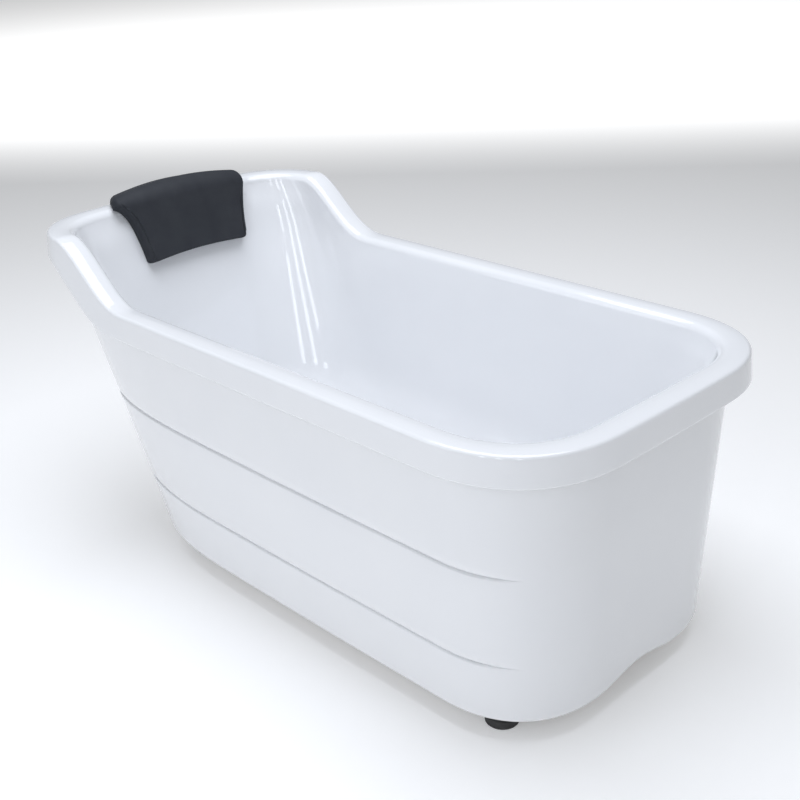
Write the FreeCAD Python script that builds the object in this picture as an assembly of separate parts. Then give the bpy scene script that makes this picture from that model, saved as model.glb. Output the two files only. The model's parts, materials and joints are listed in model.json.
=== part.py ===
import FreeCAD, Part
import os
from math import atan2, cos, pi, sin, sqrt

# Freestanding slipper bathtub: an acrylic basin with a turned-down rim, a separate
# outer apron, a welded steel frame on four levelling feet, a click-clack waste with
# overflow, and a padded head pillow.
# Millimetres. +X runs to the foot (low) end, +Y to the bather's left, +Z up.
# The origin is on the floor under the centre of the rim.

os.makedirs("parts", exist_ok=True)
V = FreeCAD.Vector

# ---- driving dimensions ----------------------------------------------------
LENGTH = 1400.0          # over the rim
WIDTH = 720.0            # over the rim
RIM_LOW = 570.0          # rim height along the sides and round the foot end
RIM_HIGH = 685.0         # rim height round the head end
SWEEP_START = -325.0     # where the rim starts to rise
SWEEP_END = -540.0       # where it reaches the head height
SWEEP_POWER = 1.2        # slows the start of the rise
SKIRT_DEPTH = 54.0       # turned-down edge of the rim
SKIRT_LAG = 45.0         # the skirt's lower edge rises this much nearer the head
SHELL = 6.0              # acrylic with its laminate
APRON_WALL = 5.0
JOINT_GAP = 0.5          # adhesive between moulded faces that meet

FLOOR_TOP = 170.0        # inside floor of the basin
COVE = 105.0             # inside radius between walls and floor
SIDE_DRAFT = 0.114       # inward lean of the side walls, per mm of depth
FOOT_DRAFT = 0.231
BACK_LEAN = 0.35         # backrest
BASIN_HALF = 302.0       # inside half width at the low rim
BASIN_FOOT = 640.0       # inside end at the low rim
BASIN_HEAD = -640.0      # inside end at the high rim
HEAD_CORNER = 100.0      # inside corner radii at the rim
FOOT_CORNER = 140.0
HEAD_CORNER_GROWTH = 0.22        # per mm of depth
BASIN_BOWS = (18.0, 4.0)         # bulge of the head and foot walls
RIM_CORNERS = (135.0, 188.0)     # outside corner radii, head and foot
RIM_BOWS = (30.0, 8.0)
BASIN_SPLIT_X = (-330.0, 430.0)  # the basin is stored in five pieces of one moulding
BASIN_SPLIT_Y = 140.0

APRON_BASE = 39.0        # gap under the apron
APRON_ROLL = 18.0        # rounding of its bottom edge
APRON_RETURN = 35.0      # inward flange along the bottom edge
LAP_HEIGHTS = (332.0, 158.0)
LAP_STEP = 5.0
LAP_RISE = 17.0
ARCH_RISE = 18.0         # arch in the bottom edge under the foot end
ARCH_HALF = 112.0
APRON_HEIGHTS = (APRON_BASE, 158.0, 332.0, 516.0, 640.0, 760.0)
APRON_HEADS = (-425.0, -476.0, -558.0, -640.0, -660.0, -660.0)   # head tip at each height
CORNER_LENGTHS = (270.0, 320.0, 380.0, 330.0, 170.0, 150.0)      # boat-like head corners
CORNER_WIDTHS = (105.0, 100.0, 95.0, 105.0, 140.0, 150.0)
APRON_HALF = 302.0       # at the base; it widens towards the rim
APRON_FOOT = 652.0
APRON_FLARE = (24.0, 14.0)       # growth of the half width and of the foot end
APRON_CORNER = 165.0
APRON_BOWS = (6.0, 5.0)

TUBE = 30.0              # square frame tube
TUBE_WALL = 2.0
BOARD = 12.0             # board under the basin floor
BOARD_BOTTOM = FLOOR_TOP - SHELL - BOARD
RAIL_BOTTOM = BOARD_BOTTOM - TUBE
RAIL_Y = 150.0
FEET_X = (-300.0, 530.0)
MIDDLE_X = 115.0
FEET_Y = 225.0
CROSS_HALF = 245.0

STEM_R = 6.0
THREAD_FIT = 0.05
STEM_TOP = 138.0
PAD_R = 30.0
PAD_H = 17.0
SOCKET_R = 9.0
SOCKET_FLOOR = 5.0
NUT_R = 10.5
NUT_H = 8.0

DRAIN_X = 390.0
DRAIN_HOLE_R = 26.0
DRAIN_BORE_R = 19.0
DRAIN_TAIL_R = 23.0
PLUG_R = 30.0
OUTLET_R = 20.0
TEE_Z = 88.0
OVERFLOW_Z = 478.0
OVERFLOW_HOLE_R = 20.0
WASHER_R = 34.0
HOSE_R = 11.0
HOSE_X = 636.0

PILLOW_THICK = 26.0
PILLOW_GAP = 2.5
BACK_CURVE = 5000.0      # twice the plan radius of the backrest
CUP_R = 19.0
CUP_CLEAR = 0.4
PILLOW_MID_Y = 14.0
PILLOW_TOP_HALF = 172.0
PILLOW_LOW_HALF = 136.0
PILLOW_LOW_Z = 558.0
PILLOW_LOW_RISE = 6.0    # its lower edge is higher in the middle
PILLOW_BACK_HALF = 127.0


# ---- shared shapes -----------------------------------------------------------
def save(name, shape):
    shape.exportStep("parts/" + name + ".step")


def sweep_z(x):
    """Height of the rim's top surface at x."""
    t = (SWEEP_START - x) / (SWEEP_START - SWEEP_END)
    t = min(max(t, 0.0), 1.0) ** SWEEP_POWER
    return RIM_LOW + (RIM_HIGH - RIM_LOW) * t * t * (3.0 - 2.0 * t)


def round_end(tip, half, corner, bow, facing):
    """One end of an outline: a shallow arc whose tip lies at x = tip, joined to the
    sides at y = -half and y = half by tangent corner arcs of radius corner.
    facing is 1 for the foot end and -1 for the head end. Returns the x where the
    sides stop, the angles and centres needed to draw the arcs."""
    sweep_r = (half ** 2 + bow ** 2) / (2 * bow)
    arc_x = tip - facing * sweep_r
    reach = sqrt((sweep_r - corner) ** 2 - (half - corner) ** 2)
    corner_x = arc_x + facing * reach
    turn = atan2(half - corner, reach)
    join = (arc_x + facing * sweep_r * cos(turn), sweep_r * sin(turn))
    middle = (pi / 2 + turn) / 2
    mid = (corner_x + facing * corner * cos(middle), half - corner + corner * sin(middle))
    return corner_x, mid, join


def outline(z, head, foot, half, head_corner, foot_corner, head_bow, foot_bow):
    """Closed wire of a tub-shaped outline at height z, between the tips head and foot.
    head_corner is a radius, or (length, width) of a boat-like corner."""
    fx, fmid, fjoin = round_end(foot, half, foot_corner, foot_bow, 1)
    near, far = -1, 1
    edges = []

    def arc(a, b, c):
        edges.append(Part.Arc(V(a[0], a[1], z), V(b[0], b[1], z), V(c[0], c[1], z)).toShape())

    if isinstance(head_corner, tuple):
        length, width = head_corner
        hx = head + head_bow + length
        hjoin = (head + head_bow, half - width)
        slope = 2 * atan2(head_bow, half - width)
    else:
        hx, hmid, hjoin = round_end(head, half, head_corner, head_bow, -1)

    def head_side(side):
        if not isinstance(head_corner, tuple):
            pts = [(hx, side * half), (hmid[0], side * hmid[1]), (hjoin[0], side * hjoin[1])]
            arc(*(pts if side == far else pts[::-1]))
            return
        pts = [V(hx - length * sin(t), side * (half - width + width * cos(t)), z)
               for t in (0.0, pi / 6, pi / 3, pi / 2)]
        start, end = V(-1, 0, 0), V(-sin(slope), -side * cos(slope), 0)
        if side == near:
            pts, start, end = pts[::-1], end * -1, start * -1
        curve = Part.BSplineCurve()
        curve.interpolate(Points=pts, InitialTangent=start, FinalTangent=end)
        edges.append(curve.toShape())

    edges.append(Part.makeLine(V(hx, -half, z), V(fx, -half, z)))
    arc((fx, -half), (fmid[0], -fmid[1]), (fjoin[0], -fjoin[1]))
    arc((fjoin[0], -fjoin[1]), (foot, 0.0), fjoin)
    arc(fjoin, fmid, (fx, half))
    edges.append(Part.makeLine(V(fx, half, z), V(hx, half, z)))
    head_side(far)
    arc(hjoin, (head, 0.0), (hjoin[0], -hjoin[1]))
    head_side(near)
    return Part.Wire(edges)


def sweep_solid(drop, lag, top):
    """Everything above (top True) or below the rim surface lowered by drop and moved
    by lag towards the head, as a wide slab across Y."""
    far = LENGTH
    steps = 14
    xs = [SWEEP_START + (SWEEP_END - SWEEP_START) * k / steps for k in range(steps + 1)]
    curve_points = [V(x - lag, -far, sweep_z(x) - drop) for x in xs]
    curve = Part.BSplineCurve()
    curve.interpolate(Points=curve_points, InitialTangent=V(-1, 0, 0), FinalTangent=V(-1, 0, 0))
    low = V(far, -far, RIM_LOW - drop)
    high = V(-far, -far, RIM_HIGH - drop)
    end = 2 * far if top else -far
    edges = [Part.makeLine(low, curve_points[0]), curve.toShape(),
             Part.makeLine(curve_points[-1], high),
             Part.makeLine(high, V(-far, -far, end)),
             Part.makeLine(V(-far, -far, end), V(far, -far, end)),
             Part.makeLine(V(far, -far, end), low)]
    return Part.Face(Part.Wire(edges)).extrude(V(0, 2 * far, 0))


def tube_x(x0, x1, y, r_outer, r_inner, z):
    """Round pipe along X."""
    outer = Part.makeCylinder(r_outer, x1 - x0, V(x0, y, z), V(1, 0, 0))
    return outer.cut(Part.makeCylinder(r_inner, x1 - x0, V(x0, y, z), V(1, 0, 0)))


def ring(r_outer, r_inner, z0, z1, x=0.0, y=0.0):
    """Upright ring or sleeve."""
    outer = Part.makeCylinder(r_outer, z1 - z0, V(x, y, z0))
    return outer.cut(Part.makeCylinder(r_inner, z1 - z0, V(x, y, z0)))


def hexagon(across, z0, z1, x, y):
    """Upright hexagonal prism, measured across its corners."""
    pts = [V(x + across * cos(k * pi / 3), y + across * sin(k * pi / 3), z0) for k in range(7)]
    return Part.Face(Part.makePolygon(pts)).extrude(V(0, 0, z1 - z0))


def fillet_at(shape, radius, chosen):
    """Fillet the edges for which chosen(edge) is true."""
    return shape.makeFillet(radius, [e for e in shape.Edges if chosen(e)])


def flat_edge_at(z):
    """Test for an edge that lies wholly at height z."""
    return lambda e: abs(e.BoundBox.ZMin - z) < 0.01 and abs(e.BoundBox.ZMax - z) < 0.01


# ---- basin -------------------------------------------------------------------
def basin_section(z, grow):
    """Inside outline of the basin at height z, grown outwards by grow (or shrunk)."""
    depth = RIM_LOW - z
    head = BASIN_HEAD + BACK_LEAN * (RIM_HIGH - z) - grow
    foot = BASIN_FOOT - FOOT_DRAFT * depth + grow
    half = BASIN_HALF - SIDE_DRAFT * max(depth, 0.0) + grow
    corner = HEAD_CORNER + HEAD_CORNER_GROWTH * (RIM_HIGH - z) + grow
    return outline(z, head, foot, half, corner, FOOT_CORNER + grow, *BASIN_BOWS)


def basin_block(grow, top):
    """Solid filling the basin up to top, with the cove round its floor."""
    floor = FLOOR_TOP - grow
    radius = COVE + grow
    sections = []
    steps = 8
    for k in range(steps + 1):
        turn = pi / 2 * (1.0 - k / steps)
        z = floor + radius * (1.0 - sin(turn))
        sections.append(basin_section(z, grow - radius * (1.0 - cos(turn))))
    sections += [basin_section(z, grow) for z in (RIM_LOW, top)]
    return Part.makeLoft(sections, True, True)


def rim_outline(z, inset):
    return outline(z, -LENGTH / 2 + inset, LENGTH / 2 - inset, WIDTH / 2 - inset,
                   RIM_CORNERS[0] - inset, RIM_CORNERS[1] - inset, *RIM_BOWS)


def prism(wire, height):
    return Part.Face(wire).extrude(V(0, 0, height))


def make_basin():
    base = RIM_LOW - SKIRT_DEPTH - 30.0
    tall = RIM_HIGH + 30.0 - base
    rim = prism(rim_outline(base, 0.0), tall).common(sweep_solid(0.0, 0.0, False))
    rim = rim.cut(sweep_solid(SKIRT_DEPTH, SKIRT_LAG, False))
    under = prism(rim_outline(base - 1.0, SHELL), tall).common(sweep_solid(SHELL, 0.0, False))
    bowl = basin_block(SHELL, RIM_HIGH + 30.0).common(sweep_solid(SHELL / 2, 0.0, False))
    basin = rim.cut(under).fuse(bowl).cut(basin_block(0.0, RIM_HIGH + 31.0))
    drain = Part.makeCylinder(DRAIN_HOLE_R, 40.0, V(DRAIN_X, 0, FLOOR_TOP - 20.0))
    basin = basin.cut(drain)
    wall_x = BASIN_FOOT - FOOT_DRAFT * (RIM_LOW - OVERFLOW_Z)
    overflow = Part.makeCylinder(OVERFLOW_HOLE_R, 60.0, V(wall_x - 30.0, 0, OVERFLOW_Z), V(1, 0, 0))
    return basin.cut(overflow)


def save_basin():
    """The basin is one moulding; it is stored in five pieces that meet edge to edge, so
    that each is simple enough to get close-fitting collision shapes."""
    basin = make_basin()
    far = LENGTH
    x0, x1 = BASIN_SPLIT_X
    y1 = BASIN_SPLIT_Y
    pieces = {"basin_head": (-far, -far, x0, far), "basin_foot": (x1, -far, far, far),
              "basin_side_near": (x0, -far, x1, -y1), "basin_side_far": (x0, y1, x1, far),
              "basin_floor": (x0, -y1, x1, y1)}
    for name, (xa, ya, xb, yb) in pieces.items():
        save(name, basin.common(Part.makeBox(xb - xa, yb - ya, far, V(xa, ya, 0))))


# ---- apron -------------------------------------------------------------------
def apron_section(z, grow):
    """Outside outline of the apron at height z, grown outwards by grow (or shrunk)."""
    def between(values):
        for k in range(len(APRON_HEIGHTS) - 1):
            if z <= APRON_HEIGHTS[k + 1]:
                step = APRON_HEIGHTS[k + 1] - APRON_HEIGHTS[k]
                t = (z - APRON_HEIGHTS[k]) / step
                return values[k] + (values[k + 1] - values[k]) * t
        return values[-1]

    up = min((z - APRON_BASE) / (RIM_LOW - SKIRT_DEPTH - APRON_BASE), 1.0)
    half = APRON_HALF + APRON_FLARE[0] * up + grow
    foot = APRON_FOOT + APRON_FLARE[1] * up + grow
    corner = (between(CORNER_LENGTHS) + grow, between(CORNER_WIDTHS) + grow)
    head = between(APRON_HEADS) - grow
    return outline(z, head, foot, half, corner, APRON_CORNER + grow, *APRON_BOWS)


def apron_block(grow, bottom, top):
    """Solid apron shape; its bottom edge is rolled in when the block starts at the base."""
    cuts = [h for h in APRON_HEIGHTS[1:] if bottom < h < top]
    sections = []
    if bottom < APRON_BASE + APRON_ROLL:
        steps = 4
        for k in range(steps + 1):
            turn = pi / 2 * (1.0 - k / steps)
            z = bottom + APRON_ROLL * (1.0 - sin(turn))
            sections.append(apron_section(z, grow - APRON_ROLL * (1.0 - cos(turn))))
    else:
        sections.append(apron_section(bottom, grow))
    sections += [apron_section(h, grow) for h in cuts + [top]]
    return Part.makeLoft(sections, True, True)


def lap_cutter(height, side):
    """Wedge that undercuts the bottom of one lap of the side panel; it fades at both ends."""
    stations = ((-330.0, 0.15), (-250.0, 1.0), (0.0, 1.0), (470.0, 1.0), (540.0, 0.15))
    wires = []
    for x, depth in stations:
        face_y = apron_section_half(height)
        deep = LAP_STEP * depth
        pts = [V(x, side * (face_y - deep), height), V(x, side * (face_y + 6.0), height),
               V(x, side * (face_y + 6.0), height + LAP_RISE * 1.6),
               V(x, side * (face_y + 0.9), height + LAP_RISE)]
        wires.append(Part.makePolygon(pts + [pts[0]]))
    return Part.makeLoft(wires, True, True)


def apron_section_half(z):
    return APRON_HALF + APRON_FLARE[0] * (z - APRON_BASE) / (RIM_LOW - SKIRT_DEPTH - APRON_BASE)


def make_apron():
    outer = apron_block(0.0, APRON_BASE, 760.0)
    for height in LAP_HEIGHTS:
        for side in (-1, 1):
            outer = outer.cut(lap_cutter(height, side))
    inner = apron_block(-APRON_WALL - LAP_STEP / 2, APRON_BASE + APRON_WALL, 761.0)
    shell = outer.cut(inner)
    mouth = prism(apron_section(APRON_BASE, -APRON_RETURN), 2 * APRON_WALL)
    mouth.translate(V(0, 0, -APRON_WALL / 2))
    shell = shell.cut(mouth)
    arch_r = (ARCH_HALF ** 2 + ARCH_RISE ** 2) / (2 * ARCH_RISE)
    arch = Part.makeCylinder(arch_r, 200.0, V(560.0, 0, APRON_BASE + ARCH_RISE - arch_r), V(1, 0, 0))
    shell = shell.cut(arch)
    shell = shell.cut(basin_block(SHELL + JOINT_GAP, RIM_HIGH + 30.0))
    return shell.common(sweep_solid(SHELL + JOINT_GAP, 0.0, False))


# ---- frame -------------------------------------------------------------------
def square_tube(x0, y0, x1, y1):
    """Square tube from (x0, y0) to (x1, y1), along X or along Y, at rail height."""
    h = TUBE / 2
    mid = RAIL_BOTTOM + h
    gap = TUBE - 2 * TUBE_WALL
    if y0 == y1:
        outer = Part.makeBox(x1 - x0, TUBE, TUBE, V(x0, y0 - h, mid - h))
        bore = Part.makeBox(x1 - x0, gap, gap, V(x0, y0 - gap / 2, mid - gap / 2))
    else:
        outer = Part.makeBox(TUBE, y1 - y0, TUBE, V(x0 - h, y0, mid - h))
        bore = Part.makeBox(gap, y1 - y0, gap, V(x0 - gap / 2, y0, mid - gap / 2))
    outer = outer.makeFillet(3.0, [e for e in outer.Edges if e.Length > TUBE + 1.0])
    return outer.cut(bore)


def mirrored(shape, side):
    """The shape itself for side 1, its mirror image across the middle for side -1."""
    return shape if side > 0 else shape.mirror(V(0, 0, 0), V(0, 1, 0))


def tub_screw(x, y, z, head_r, head_h, shank_r, shank_h, up):
    """Round-headed screw whose head seats at height z, with its shank above or below."""
    way = 1.0 if up else -1.0
    head = Part.makeCylinder(head_r, head_h, V(x, y, z), V(0, 0, -way))
    shank = Part.makeCylinder(shank_r, shank_h, V(x, y, z), V(0, 0, way))
    return head.fuse(shank)


def make_frame():
    h = TUBE / 2
    top = BOARD_BOTTOM
    tubes = {
        "cross_tube_head": square_tube(FEET_X[0], -CROSS_HALF, FEET_X[0], CROSS_HALF),
        "cross_tube_foot": square_tube(FEET_X[1], -CROSS_HALF, FEET_X[1], CROSS_HALF),
        "cross_tube_middle": square_tube(MIDDLE_X, -RAIL_Y + h, MIDDLE_X, RAIL_Y - h),
        "side_tube_near": square_tube(FEET_X[0] + h, -RAIL_Y, FEET_X[1] - h, -RAIL_Y),
        "side_tube_far": square_tube(FEET_X[0] + h, RAIL_Y, FEET_X[1] - h, RAIL_Y),
    }
    board = prism(outline(BOARD_BOTTOM, -345.0, 555.0, 185.0, 90.0, 60.0, 4.0, 4.0), BOARD)
    board = board.cut(basin_block(SHELL, RIM_HIGH + 30.0))
    board = board.cut(Part.makeCylinder(WASHER_R + 6.0, 2 * BOARD, V(DRAIN_X, 0, top - 1.0)))

    board_screws = Part.makeCompound([
        tub_screw(x, y, RAIL_BOTTOM, 4.5, 2.5, 2.0, TUBE + BOARD - 3.0, True)
        for x in (-220.0, -60.0, 60.0, 240.0, 390.0) for y in (-RAIL_Y, RAIL_Y)])
    inside = apron_block(-APRON_WALL - LAP_STEP / 2, APRON_BASE + APRON_WALL, 400.0)
    brackets, bracket_screws, caps, weld_nuts = [], [], [], []
    for x in FEET_X:
        for side in (-1, 1):
            arm = Part.makeBox(26.0, 120.0, 3.0, V(x - 13.0, CROSS_HALF - 45.0, top))
            lip = Part.makeBox(26.0, 120.0, 30.0, V(x - 13.0, CROSS_HALF - 45.0, top))
            core = apron_block(-APRON_WALL - LAP_STEP / 2 - 3.0, top - 40.0, 400.0)
            shape = mirrored(arm.fuse(lip.cut(core)), side).common(inside)
            brackets.append(shape)
            bracket_screws.append(tub_screw(x, side * (CROSS_HALF - 38.0), top + 3.0,
                                            4.5, 2.5, 2.0, 12.0, False))
            plate = Part.makeBox(TUBE, 2.0, TUBE, V(x - h, CROSS_HALF, RAIL_BOTTOM))
            gap = TUBE - 2 * TUBE_WALL - 0.2
            plug = Part.makeBox(gap, 8.0, gap, V(x - gap / 2, CROSS_HALF - 8.0, top - h - gap / 2))
            caps.append(mirrored(plate.fuse(plug), side))
            nut = hexagon(NUT_R, RAIL_BOTTOM - NUT_H, RAIL_BOTTOM, x, side * FEET_Y)
            bore = Part.makeCylinder(STEM_R + THREAD_FIT, 60.0, V(x, side * FEET_Y, 80.0))
            weld_nuts.append(nut.cut(bore))
    brackets = Part.makeCompound(brackets)
    bracket_screws = Part.makeCompound(bracket_screws)
    for name, tube in tubes.items():
        for x in FEET_X:
            for side in (-1, 1):
                tube = tube.cut(Part.makeCylinder(STEM_R + 1.0, TUBE_WALL + 1.0,
                                                  V(x, side * FEET_Y, RAIL_BOTTOM - 0.5)))
        save(name, tube.cut(board_screws).cut(bracket_screws))
    save("base_board", board.cut(board_screws))
    save("board_screws", board_screws)
    save("apron_brackets", brackets.cut(bracket_screws))
    save("bracket_screws", bracket_screws)
    save("tube_caps", Part.makeCompound(caps))
    save("weld_nuts", Part.makeCompound(weld_nuts))


# ---- levelling feet ------------------------------------------------------------
def make_feet():
    lock_nuts = []
    names = ("head_near", "head_far", "foot_near", "foot_far")
    places = [(x, side * FEET_Y) for x in FEET_X for side in (-1, 1)]
    for name, (x, y) in zip(names, places):
        pad = Part.makeCone(PAD_R, PAD_R - 3.0, PAD_H - 5.0, V(x, y, 0))
        crown = Part.makeCone(PAD_R - 3.0, SOCKET_R + 5.0, 5.0, V(x, y, PAD_H - 5.0))
        socket = Part.makeCylinder(SOCKET_R + THREAD_FIT, PAD_H, V(x, y, SOCKET_FLOOR))
        save("pad_" + name, pad.fuse(crown).cut(socket))
        foot = Part.makeCylinder(SOCKET_R, PAD_H - SOCKET_FLOOR - 0.1, V(x, y, SOCKET_FLOOR + 0.05))
        flats = hexagon(NUT_R - 1.0, PAD_H + 2.0, PAD_H + 10.0, x, y)
        rod = Part.makeCylinder(STEM_R, STEM_TOP - 10.0, V(x, y, 10.0))
        save("stem_" + name, foot.fuse(rod).fuse(flats))
        z = RAIL_BOTTOM - NUT_H
        bore = Part.makeCylinder(STEM_R + THREAD_FIT, 60.0, V(x, y, 80.0))
        lock_nuts.append(hexagon(NUT_R, z - NUT_H + 2.0, z, x, y).cut(bore))
    save("lock_nuts", Part.makeCompound(lock_nuts))


# ---- waste and overflow --------------------------------------------------------
def make_waste():
    x = DRAIN_X
    seat = FLOOR_TOP
    flange = ring(WASHER_R, DRAIN_BORE_R, seat + 1.5, seat + 4.0, x)
    tail = ring(DRAIN_TAIL_R, DRAIN_BORE_R, 112.0, seat + 1.5, x)
    bridge = Part.makeBox(2 * DRAIN_BORE_R + 2.0, 4.0, 6.0, V(x - DRAIN_BORE_R - 1.0, -2.0, 118.0))
    hub = Part.makeCylinder(6.0, 18.0, V(x, 0, 112.0))
    bore = Part.makeCylinder(3.05, 40.0, V(x, 0, 106.0))
    save("waste_flange", flange.fuse(tail).fuse(bridge).fuse(hub).cut(bore))
    save("flange_seal", ring(WASHER_R - 1.0, DRAIN_TAIL_R + 0.5, seat, seat + 1.5, x))
    under = seat - SHELL
    save("waste_washer", ring(WASHER_R, DRAIN_TAIL_R + 0.5, under - 3.0, under, x))
    nut = hexagon(WASHER_R, under - 15.0, under - 3.0, x, 0.0)
    save("waste_nut", nut.cut(Part.makeCylinder(DRAIN_TAIL_R, 40.0, V(x, 0, under - 30.0))))

    seal_z = seat + 4.3
    cap_z = seal_z + 2.0
    cap = Part.makeCylinder(PLUG_R, 3.0, V(x, 0, cap_z))
    cap = fillet_at(cap, 1.2, flat_edge_at(cap_z + 3.0))
    neck = Part.makeCylinder(DRAIN_BORE_R - 5.0, 5.0, V(x, 0, cap_z - 5.0))
    save("plug_cap", cap.fuse(neck))
    save("plug_seal", ring(PLUG_R - 3.0, DRAIN_BORE_R - 5.0, seal_z, cap_z, x))
    save("plug_stem", Part.makeCylinder(3.0, cap_z - 5.0 - 102.0, V(x, 0, 102.0)))

    body = Part.makeCylinder(DRAIN_TAIL_R + 4.0, 48.0, V(x, 0, 68.0))
    side = Part.makeCylinder(HOSE_R + 3.0, 52.0, V(x, 0, TEE_Z), V(1, 0, 0))
    outlet = Part.makeCylinder(OUTLET_R, 30.0, V(x, 0, 42.0))
    collar = Part.makeCylinder(OUTLET_R + 4.0, 6.0, V(x, 0, 64.0))
    tee = body.fuse(side).fuse(outlet).fuse(collar)
    tee = tee.cut(Part.makeCylinder(DRAIN_TAIL_R, 8.0, V(x, 0, 112.0)))
    tee = tee.cut(Part.makeCylinder(DRAIN_TAIL_R - 1.0, 41.0, V(x, 0, 71.0)))
    tee = tee.cut(Part.makeCylinder(OUTLET_R - 2.5, 40.0, V(x, 0, 40.0)))
    tee = tee.cut(Part.makeCylinder(HOSE_R, 60.0, V(x, 0, TEE_Z), V(1, 0, 0)))
    save("waste_tee", tee)

    wall_x = BASIN_FOOT - FOOT_DRAFT * (RIM_LOW - OVERFLOW_Z)
    lean = V(-cos(FOOT_DRAFT), 0, sin(FOOT_DRAFT))
    out = lean * -1
    centre = V(wall_x, 0, OVERFLOW_Z)
    place = lambda distance: centre + out * distance
    face = Part.makeCylinder(33.0, 4.0, place(-7.0), out)
    spout = Part.makeCylinder(30.0, 3.0, place(-3.0 - JOINT_GAP), out)
    throat = Part.makeCylinder(15.0, 14.0 + JOINT_GAP, place(-JOINT_GAP), out)
    bore = Part.makeCylinder(12.0, 40.0, place(-3.0), out)
    cover = face.fuse(spout).fuse(throat).cut(bore)
    save("overflow_cover", cover)
    seal = Part.makeCylinder(28.0, 2.0, place(SHELL), out)
    save("overflow_seal", seal.cut(Part.makeCylinder(15.3, 2.0, place(SHELL), out)))
    drop = OVERFLOW_Z - 34.0
    housing = Part.makeCylinder(26.0, 9.0, place(SHELL + 2.0), out)
    pipe = Part.makeCylinder(HOSE_R + 2.5, 34.0, V(HOSE_X, 0, drop))
    elbow = housing.fuse(pipe)
    elbow = elbow.cut(Part.makeCylinder(15.0, 6.5, place(SHELL + 1.5), out))
    elbow = elbow.cut(Part.makeCylinder(HOSE_R, 31.0, V(HOSE_X, 0, drop - 1.0)))
    save("overflow_elbow", elbow)

    bend = 96.0
    start = V(DRAIN_X + 36.0, 0, TEE_Z)
    corner = V(HOSE_X - bend, 0, TEE_Z)
    rise = V(HOSE_X, 0, TEE_Z + bend)
    finish = V(HOSE_X, 0, drop + 16.0)
    centre = V(HOSE_X - bend, 0, TEE_Z + bend)
    mid = centre + V(bend * sin(pi / 4), 0, -bend * cos(pi / 4))
    path = Part.Wire([Part.makeLine(start, corner), Part.Arc(corner, mid, rise).toShape(),
                      Part.makeLine(rise, finish)])

    def hose(radius):
        return path.makePipeShell([Part.Wire(Part.makeCircle(radius, start, V(1, 0, 0)))], True, True)

    save("overflow_hose", hose(HOSE_R - 0.1).cut(hose(HOSE_R - 2.0)))
    lower = tube_x(DRAIN_X + 52.0, DRAIN_X + 62.0, 0.0, HOSE_R + 5.0, HOSE_R, TEE_Z)
    upper = ring(HOSE_R + 4.5, HOSE_R, drop - 10.0, drop, HOSE_X)
    save("hose_nuts", Part.makeCompound([lower, upper]))


# ---- head pillow ---------------------------------------------------------------
def pillow_slice(y):
    """Profile of the pillow at distance y from its middle, as a closed wire."""
    x0 = BASIN_HEAD + (PILLOW_MID_Y + y) ** 2 / BACK_CURVE
    lean = BACK_LEAN
    gap, thick = PILLOW_GAP, PILLOW_THICK
    top = RIM_HIGH + gap
    low = PILLOW_LOW_Z + PILLOW_LOW_RISE * (1.0 - (y / PILLOW_TOP_HALF) ** 2)
    low_x = x0 + lean * (RIM_HIGH - low) + gap * 1.2
    back = -LENGTH / 2 + 3.0
    pts = [(back + 4.0, top), (x0 + gap, top), (x0 + gap * 1.2 + lean * 12.0, top - 12.0),
           (low_x, low), (low_x + thick * 0.45, low - 2.0), (low_x + thick * 0.9, low + 8.0),
           (x0 + thick + 8.0, top + 2.0), (x0 + thick - 4.0, top + thick * 0.68),
           (x0 + thick * 0.3, top + thick * 0.9), (back + 14.0, top + thick * 0.75),
           (back, top + 8.0)]
    return Part.makePolygon([V(px, PILLOW_MID_Y + y, pz) for px, pz in pts + [pts[0]]])


def make_pillow():
    ys = [PILLOW_TOP_HALF * k / 4 for k in range(-4, 5)]
    pad = Part.makeLoft([pillow_slice(y) for y in ys], True, True)
    mid, far = PILLOW_MID_Y, 260.0
    for side in (-1, 1):
        z0, z1 = PILLOW_LOW_Z - 30.0, RIM_HIGH
        front = [(mid + side * (PILLOW_LOW_HALF - 8.0), z0), (mid + side * PILLOW_TOP_HALF, z1),
                 (mid + side * PILLOW_TOP_HALF, z1 + 60.0), (mid + side * far, z1 + 60.0),
                 (mid + side * far, z0)]
        pts = [V(-800, y, z) for y, z in front + [front[0]]]
        pad = pad.cut(Part.Face(Part.makePolygon(pts)).extrude(V(300, 0, 0)))
        plan = [(BASIN_HEAD + 10.0, mid + side * PILLOW_TOP_HALF),
                (-LENGTH / 2, mid + side * PILLOW_BACK_HALF), (-800.0, mid + side * far),
                (BASIN_HEAD + 10.0, mid + side * far)]
        pts = [V(x, y, z0) for x, y in plan + [plan[0]]]
        pad = pad.cut(Part.Face(Part.makePolygon(pts)).extrude(V(0, 0, 300)))
    save("head_pillow", pad)
    wall = basin_block(-CUP_CLEAR, RIM_HIGH + 30.0)
    normal = V(cos(BACK_LEAN), 0, sin(BACK_LEAN))
    cups = []
    for y in (-70.0, 98.0):
        z = RIM_HIGH - 62.0
        foot = V(BASIN_HEAD + BACK_LEAN * (RIM_HIGH - z) + y * y / BACK_CURVE, y, z)
        cup = Part.makeCylinder(CUP_R, 12.0, foot + normal * -4.0, normal)
        cups.append(cup.cut(pad).common(wall))
    save("suction_cups", Part.makeCompound(cups))


if __name__ == "__main__":
    save_basin()
    save("apron", make_apron())
    make_frame()
    make_feet()
    make_waste()
    make_pillow()
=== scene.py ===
import json
from math import atan2, cos, pi, sin, sqrt

import bmesh
import bpy
from mathutils import Matrix, Vector


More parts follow.
